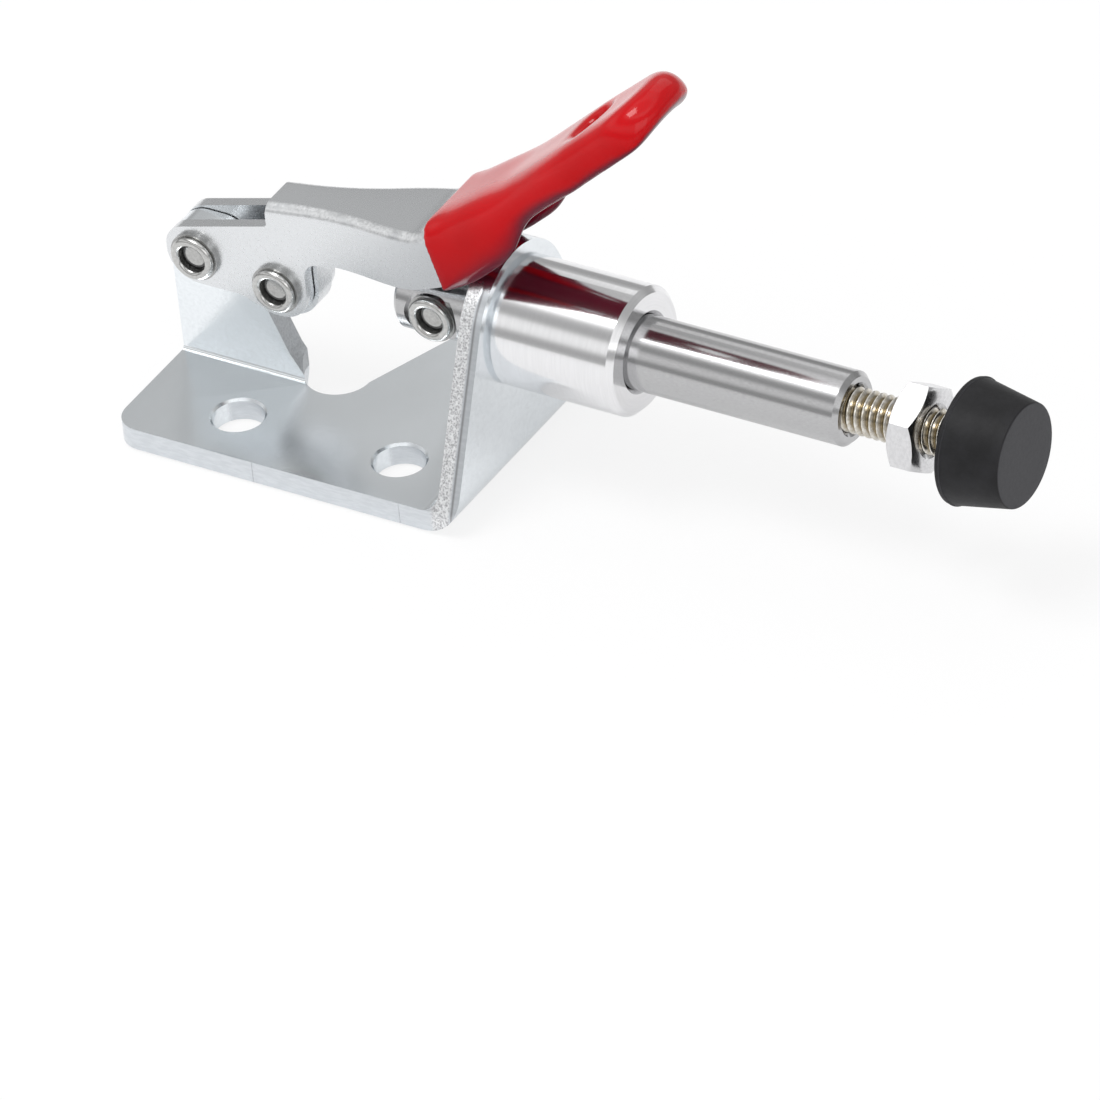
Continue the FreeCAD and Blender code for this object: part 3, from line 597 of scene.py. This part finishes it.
def makeSleeve():
    # sleeve and the buried front of the handle as one body, remeshed in small voxels;
    # then each point moves part of the way to the middle of its neighbours, many times over;
    # with S for that smoothing, points = S(p) + S(p - S(p)), which rounds edges and keeps the bulk
    way = math.radians(sleeveLook["dipLean"])
    mesh = mergedMesh(nodes["grip_sleeve"].data, "sleeveBlank")
    buried = mergedMesh(nodes["handle"].data, "buriedHandle")
    work = bmesh.new()
    work.from_mesh(buried)
    normal = Vector((-math.cos(way), 0, -math.sin(way)))
    origin = Vector((sleeveLook["dipPlane"][0], 0, sleeveLook["dipPlane"][1])) - normal * 0.05 * mm
    everything = list(work.verts) + list(work.edges) + list(work.faces)
    cut = bmesh.ops.bisect_plane(work, geom=everything, plane_co=origin, plane_no=normal, clear_outer=True)
    rim = [part for part in cut["geom_cut"] if isinstance(part, bmesh.types.BMEdge)]
    bmesh.ops.triangle_fill(work, edges=rim, use_beauty=True)
    work.from_mesh(mesh)
    work.to_mesh(mesh)
    work.free()
    blank = bpy.data.objects.new("sleeveBlank", mesh)
    bpy.context.scene.collection.objects.link(blank)
    modifier = blank.modifiers.new("skin", "REMESH")
    modifier.mode = "VOXEL"
    modifier.voxel_size = sleeveLook["voxel"]
    bpy.context.view_layer.update()
    shape = blank.evaluated_get(bpy.context.evaluated_depsgraph_get())
    skin = bpy.data.meshes.new_from_object(shape)
    bpy.data.objects.remove(blank)
    skin.name = "dippedSleeve"
    points = meshPoints(skin)
    count = len(points)
    ends = np.empty(len(skin.edges) * 2, dtype=np.int64)
    skin.edges.foreach_get("vertices", ends)
    ends = ends.reshape(-1, 2)
    around = np.bincount(ends.ravel(), minlength=count)[:, None]
    ahead = (points - np.array(origin)) @ -np.array(normal)
    boot = sleeveLook["boot"]
    beyond = np.clip((ahead - boot[0]) / (boot[1] - boot[0]), 0, 1)
    steady = np.clip(ahead / sleeveLook["steadyRim"], 0.05, 1.0)
    pull = 0.5 * steady * (1 - (1 - sleeveLook["gripShare"]) * beyond)
    pull = pull[:, None]
    values = points
    for turn in range(2):
        for step in range(sleeveLook["rounds"]):
            total = np.zeros_like(values)
            for axis in range(3):
                forwards = np.bincount(ends[:, 0], values[ends[:, 1], axis], count)
                backwards = np.bincount(ends[:, 1], values[ends[:, 0], axis], count)
                total[:, axis] = forwards + backwards
            values = (1 - pull) * values + pull * total / np.maximum(around, 1)
        if turn == 0:
            smoothed = values
            values = points - smoothed
    points = smoothed + values
    skin.vertices.foreach_set("co", points.ravel())
    skin.polygons.foreach_set("use_smooth", np.ones(len(skin.polygons), bool))
    skin.update()
    print("sleeve faces", len(skin.polygons))
    showPiece("dippedSleeve", skin, finishes["grip_sleeve"], "handle", "red_vinyl", "grip_sleeve")


makeSleeve()
print("sleeve made")


def gridMesh(name, points):
    # quads over a rows x columns grid of points whose last column joins the first;
    # poles and seams are merged and faces turned outward
    rows, columns = points.shape[:2]
    index = np.arange(rows * columns).reshape(rows, columns)
    nextRow = np.roll(index, -1, 0)
    nextColumn = np.roll(index, -1, 1)
    quads = np.stack([index, nextRow, np.roll(nextRow, -1, 1), nextColumn], -1)
    quads = quads[:-1].reshape(-1, 4)
    mesh = bpy.data.meshes.new(name)
    mesh.from_pydata(points.reshape(-1, 3).tolist(), [], quads.tolist())
    work = bmesh.new()
    work.from_mesh(mesh)
    bmesh.ops.remove_doubles(work, verts=work.verts, dist=1e-7)
    bmesh.ops.recalc_face_normals(work, faces=work.faces)
    work.to_mesh(mesh)
    work.free()
    mesh.polygons.foreach_set("use_smooth", np.ones(len(mesh.polygons), bool))
    mesh.set_sharp_from_angle(angle=math.radians(50))
    return mesh


def arcPoints(centre, radius, first, last, steps):
    # points of an arc in the profile plane, angles in degrees
    angle = np.radians(np.linspace(first, last, steps))
    return np.stack([centre[0] + radius[0] * np.cos(angle), centre[1] + radius[1] * np.sin(angle)], -1)


def turnedPoints(profile, around):
    # profile (along, radius) carried round the axis: along stays, (radius cos a, radius sin a) across it
    angle = np.linspace(0, 2 * np.pi, around, endpoint=False)
    along = np.repeat(profile[:, :1], around, 1)
    return along, profile[:, 1:] * np.cos(angle), profile[:, 1:] * np.sin(angle)


# rivets: rolled rim on the near side, low domed head on the far side

rivets = {
    "rear": {"x": -13.7, "z": 13.15, "half": 2.2, "body": "handle"},
    "middle": {"x": -5.95, "z": 12.05, "half": 2.2, "body": "handle"},
    "front": {"x": 9.6, "z": plungerMm["z"], "half": 2.6, "body": "plunger"},
}
rivetForm = {
    "washer": 0.4,
    "rim": 0.55,
    "crest": 1.62,               # radius of the rolled rim's crest
    "roll": (0.40, 0.36),        # the roll's half width and its height
    "bore": 1.16,
    "boreDepth": 0.85,
    "floor": 1.0,
    "floorRise": 0.12,
    "shank": 1.5,
    "head": 0.7,
    "headRadius": 2.45,
    # painted shade on the bore's floor, lighter than on its walls
    "paintedBoreFloorShade": 0.15,
    "around": 96,
}


def makeRivet(name, place):
    # profile from the bore's floor over the rolled rim, in under it to the shank, and out over the head
    form = rivetForm
    seat = -place["half"] - form["washer"]
    top = seat - form["rim"]
    half, height = form["roll"]
    edge = form["crest"] + half
    bottom = top + form["boreDepth"]
    roll = arcPoints((top + height, form["crest"]), (height, half), 270, 90, 15)
    dish = arcPoints((bottom - form["floorRise"], 0.0), (form["floorRise"], form["floor"]), 0, 90, 7)
    head = arcPoints((place["half"], 0.0), (form["head"], form["headRadius"]), 90, 0, 12)
    profile = np.concatenate([
        dish,
        [(bottom - 0.1, form["bore"]), (top + height + 0.12, form["bore"])],
        roll,
        [(seat - 0.06, edge - 0.03), (seat, edge - 0.12), (seat, form["shank"])],
        [(place["half"], form["shank"])],
        head,
    ])
    along, sideways, up = turnedPoints(profile, form["around"])
    points = np.stack([place["x"] + sideways, plungerMm["y"] + along, place["z"] + up], -1) * mm
    mesh = gridMesh(name + "Rivet", points)
    # how deep a point lies in the bore, for the painted shade in there
    spots = meshPoints(mesh) / mm
    outward = np.hypot(spots[:, 0] - place["x"], spots[:, 2] - place["z"])
    depth = np.clip((spots[:, 1] - plungerMm["y"] - top - 0.1) / 0.5, 0, 1)
    paintedRecessShade = np.where(outward < form["floor"] - 0.05, form["paintedBoreFloorShade"], depth)
    storePaintedRecessShade(mesh, paintedRecessShade * (outward < form["bore"] + 0.2) * (spots[:, 1] < plungerMm["y"]))
    showPiece(name + "Rivet", mesh, finishes["rivet"], place["body"], "rivet_steel", name + "_rivet")


for name, place in rivets.items():
    makeRivet(name, place)
print("rivets made")


# threaded spindle

spindle = {
    "tail": 36.0 * mm,
    "threadEnd": 57.6 * mm,
    "front": 58.4 * mm,
    "major": 1.95 * mm,
    "minor": 1.58 * mm,
    "pitch": 0.7 * mm,
    "around": 72,
    "perPitch": 14,
}


def makeSpindle():
    # radius = minor + depth * tooth, and the tooth rises and falls with x / pitch - angle / turn
    steps = int((spindle["front"] - spindle["tail"]) / spindle["pitch"] * spindle["perPitch"])
    x = np.linspace(spindle["tail"], spindle["front"], steps)
    angle = np.linspace(0, 2 * np.pi, spindle["around"], endpoint=False)
    along, turn = np.meshgrid(x, angle, indexing="ij")
    phase = (along / spindle["pitch"] - turn / (2 * np.pi)) % 1.0
    tooth = np.clip((0.5 - np.abs(phase - 0.5)) * 2.6 - 0.18, 0, 1)
    fadeTail = np.clip((along - spindle["tail"]) / (0.7 * mm), 0, 1)
    fadeFront = np.clip((spindle["threadEnd"] - along) / (0.5 * mm), 0, 1)
    radius = spindle["minor"] + (spindle["major"] - spindle["minor"]) * tooth * (0.35 + 0.65 * fadeFront)
    radius = np.minimum(radius, (1.35 + 0.6 * fadeTail) * mm)
    radius[0] = 0
    radius[-1] = 0
    across = plungerLine["y"] + radius * np.cos(turn)
    up = plungerLine["z"] + radius * np.sin(turn)
    mesh = gridMesh("threadedSpindle", np.stack([along, across, up], -1))
    # how deep a point lies between two crests, for the painted shade in there
    spots = meshPoints(mesh)
    outward = np.hypot(spots[:, 1] - plungerLine["y"], spots[:, 2] - plungerLine["z"])
    storePaintedRecessShade(mesh, np.clip((spindle["major"] - outward) / (spindle["major"] - spindle["minor"]), 0, 1) ** 1.5)
    showPiece("threadedSpindle", mesh, finishes["spindle_bolt"], "tip", "thread_steel", "spindle_bolt")


makeSpindle()
print("spindle made")


# rubber tip: tapered plug with soft edges and a thin moulding flash at its rear rim

tipForm = {
    "rear": 58.4,
    "front": 63.8,
    "rearRadius": 5.34,
    "frontRadius": 4.45,
    "rearEdge": 0.16,
    "frontEdge": 0.18,
    "seam": 0.42,                # the flash lies this far from the rear
    "flash": 0.07,
    "hole": 1.9,
}


def makeTip():
    form = tipForm
    rear, rearRadius, rearEdge = form["rear"], form["rearRadius"], form["rearEdge"]
    front, frontRadius, frontEdge = form["front"], form["frontRadius"], form["frontEdge"]
    hole = form["hole"]
    seam = rear + form["seam"]
    profile = np.concatenate([
        [(rear + 1.2, hole), (rear + 0.15, hole), (rear, hole + 0.15)],
        arcPoints((rear + rearEdge, rearRadius - rearEdge), (rearEdge, rearEdge), 180, 96, 7),
        [(seam - 0.05, rearRadius - 0.01), (seam, rearRadius + form["flash"]), (seam + 0.05, rearRadius - 0.03)],
        arcPoints((front - frontEdge, frontRadius - frontEdge), (frontEdge, frontEdge), 80, 0, 9),
        [(front, frontRadius - 1.2), (front - 0.02, 0.0)],
    ])
    along, sideways, up = turnedPoints(profile, tipLook["around"])
    points = np.stack([along, plungerMm["y"] + sideways, plungerMm["z"] + up], -1) * mm
    mesh = gridMesh("rubberPlug", points)
    showPiece("rubberPlug", mesh, finishes["rubber_tip"], "tip", "black_rubber", "rubber_tip")


makeTip()
print("tip made")


# floor, light and camera

studio = {
    "floor": (0.88, 0.88, 0.885, 1),
    # brightness of the room against the sine of the height above the horizon
    "nearSky": ((0.0, 0.50), (0.16, 0.45), (0.34, 0.95), (0.5, 0.95), (0.64, 0.45),
                (0.76, 0.55), (0.86, 1.6), (0.92, 1.0), (1.0, 0.8)),
    "farSky": ((0.0, 0.46), (0.16, 0.38), (0.4, 0.52), (0.58, 0.46), (0.7, 0.48),
               (0.86, 1.1), (0.92, 0.9), (1.0, 0.8)),
    "floorHalf": 1.5,
    "floorLevel": -0.2 * mm,
    "glow": 0.80,                # share of plain white in the floor as seen
    "shine": 0.35,               # the same in metal
    "key": 1.6,
    "fill": 0.6,
    "rear": 0.4,
}


def makeFloor():
    half, low = studio["floorHalf"], studio["floorLevel"]
    corners = [(-half, -half, low), (half, -half, low), (half, half, low), (-half, half, low)]
    mesh = bpy.data.meshes.new("floor")
    mesh.from_pydata(corners, [], [(0, 1, 2, 3)])
    item = bpy.data.objects.new("floor", mesh)
    bpy.context.scene.collection.objects.link(item)
    material, tree, shader = newMaterial("floorPaint")
    shader.inputs["Base Color"].default_value = studio["floor"]
    shader.inputs["Roughness"].default_value = 0.9
    glow = addNode(tree, "ShaderNodeEmission", Strength=1.0)
    path = tree.nodes.new("ShaderNodeLightPath")
    inMetal = calc(tree, "MULTIPLY", path.outputs["Is Glossy Ray"], studio["shine"])
    seen = calc(tree, "MULTIPLY_ADD", path.outputs["Is Camera Ray"], studio["glow"], inMetal)
    mix = tree.nodes.new("ShaderNodeMixShader")
    link(tree, seen, mix.inputs[0])
    link(tree, shader.outputs[0], mix.inputs[1])
    link(tree, glow.outputs[0], mix.inputs[2])
    link(tree, mix.outputs[0], tree.nodes["Material Output"].inputs["Surface"])
    mesh.materials.append(material)


def makeWorld():
    # bright bands towards the near side, soft grey towards the far side; the background itself is white
    world = bpy.data.worlds.new("studio")
    world.use_nodes = True
    tree = world.node_tree
    tree.nodes.clear()
    coords = tree.nodes.new("ShaderNodeTexCoord")
    apart = tree.nodes.new("ShaderNodeSeparateXYZ")
    link(tree, coords.outputs["Generated"], apart.inputs[0])
    far = ramp(tree, apart.outputs["Y"], -0.1, 0.3)
    sides = []
    for side in ("nearSky", "farSky"):
        bands = tree.nodes.new("ShaderNodeFloatCurve")
        curve = bands.mapping.curves[0]
        for index, (height, level) in enumerate(studio[side]):
            if index < 2:
                curve.points[index].location = (height, level / 2)
            else:
                curve.points.new(height, level / 2)
        bands.mapping.update()
        link(tree, apart.outputs["Z"], bands.inputs["Value"])
        sides.append(calc(tree, "MULTIPLY", bands.outputs[0], 2.0))
    level = mixValue(tree, far, sides[0], sides[1])
    path = tree.nodes.new("ShaderNodeLightPath")
    level = calc(tree, "MAXIMUM", level, path.outputs["Is Camera Ray"])
    soft = addNode(tree, "ShaderNodeBackground", Color=(1, 1, 1, 1))
    link(tree, level, soft.inputs["Strength"])
    out = tree.nodes.new("ShaderNodeOutputWorld")
    link(tree, soft.outputs[0], out.inputs["Surface"])
    bpy.context.scene.world = world


def addLamp(name, place, target, size, power):
    data = bpy.data.lights.new(name, "AREA")
    data.energy = power
    data.shape = "RECTANGLE"
    data.size = size[0]
    data.size_y = size[1]
    item = bpy.data.objects.new(name, data)
    bpy.context.scene.collection.objects.link(item)
    item.location = place
    item.rotation_mode = "QUATERNION"
    item.rotation_quaternion = (Vector(target) - Vector(place)).to_track_quat("-Z", "Y")


def makeCamera():
    data = bpy.data.cameras.new("camera")
    data.sensor_width = 36
    data.lens = 582.43
    data.clip_start = 0.1
    data.clip_end = 10
    item = bpy.data.objects.new("camera", data)
    bpy.context.scene.collection.objects.link(item)
    right = Vector((0.85339174, 0.51278193, -0.09368693))
    up = Vector((-0.23900364, 0.5446339, 0.80389749))
    back = right.cross(up)
    place = Vector((694.4686, -963.8540, 849.9765)) * mm
    rows = [(right[axis], up[axis], back[axis], place[axis]) for axis in range(3)]
    item.matrix_world = Matrix((*rows, (0, 0, 0, 1)))
    bpy.context.scene.camera = item


makeFloor()
makeWorld()
middle = (0.02, 0.007, 0.015)
addLamp("keyLamp", (-0.12, -0.16, 0.62), middle, (0.30, 0.20), studio["key"])
addLamp("fillLamp", (0.55, -0.45, 0.35), middle, (0.5, 0.4), studio["fill"])
addLamp("rearLamp", (-0.1, 0.6, 0.5), middle, (0.5, 0.4), studio["rear"])
makeCamera()
bpy.context.scene.view_settings.view_transform = "Standard"
print("studio made")
